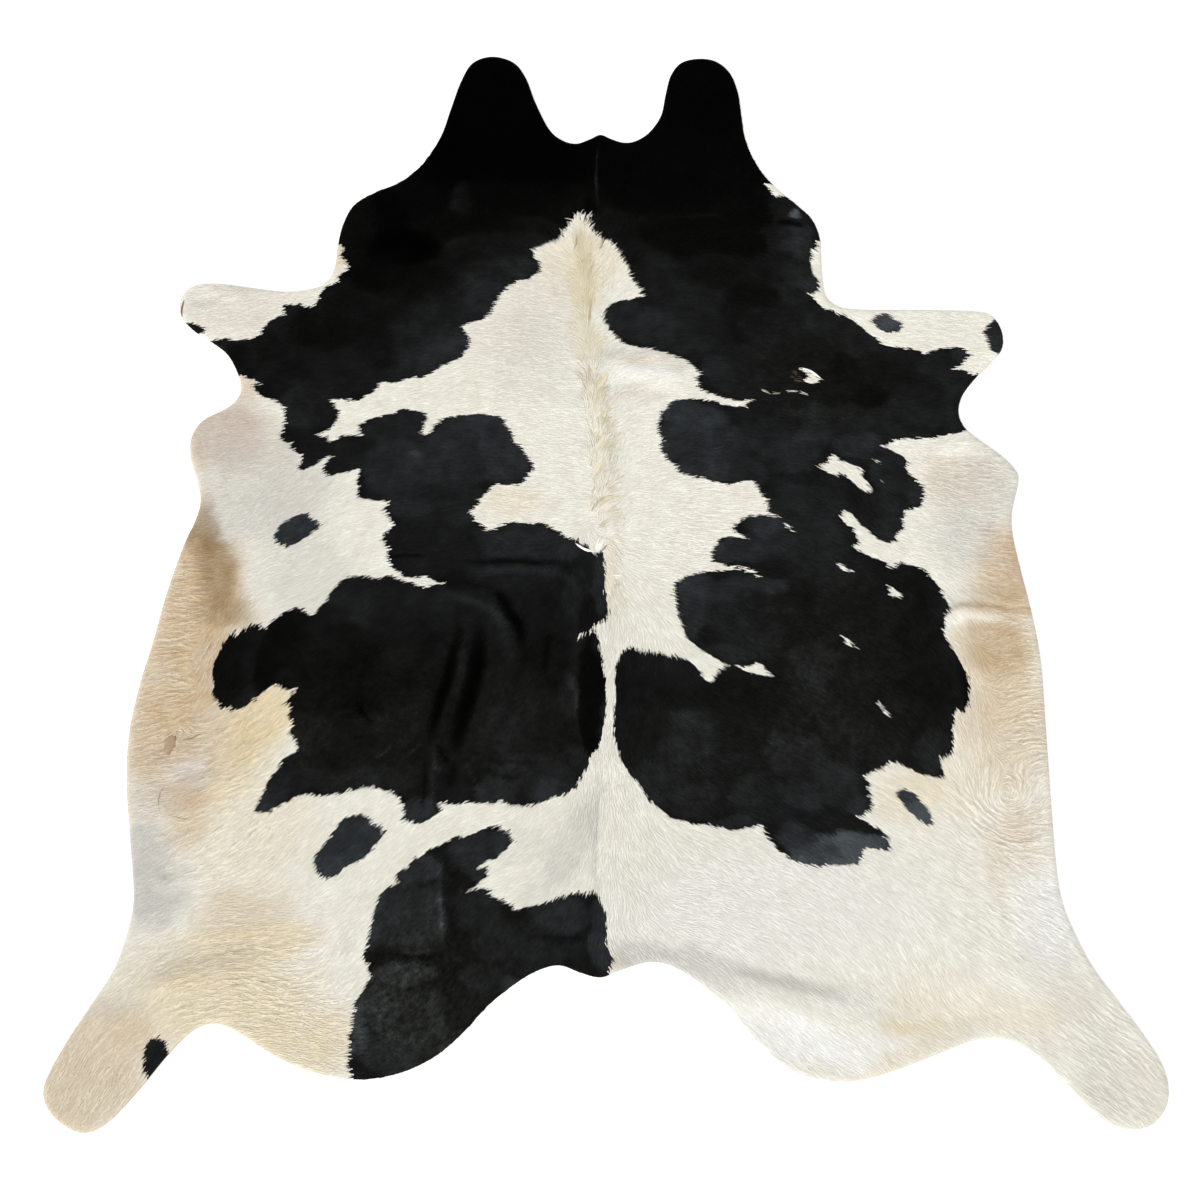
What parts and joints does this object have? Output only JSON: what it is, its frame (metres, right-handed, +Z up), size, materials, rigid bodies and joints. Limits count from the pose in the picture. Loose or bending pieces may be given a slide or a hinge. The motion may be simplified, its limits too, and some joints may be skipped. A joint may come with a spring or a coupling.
{
  "type": "cowhide rug",
  "caption": "Whole cattle hide rug lying flat, hair side up, with rounded cheek, leg and rump lobes round its edge and a few soft folds.",
  "frame": {"origin": "centre of the bounding box, on the underside, which is the surface the rug lies on", "axes": "+X towards the animal's right side, +Y along the spine towards the head end, +Z up out of the hair side"},
  "size_m": [2.0164, 2.327, 0.02],
  "materials": {
    "coat": "short flat-lying hair, matt with a soft sheen"
  },
  "bodies": {
    "root": {"hide": "coat"}
  },
  "joints": []
}
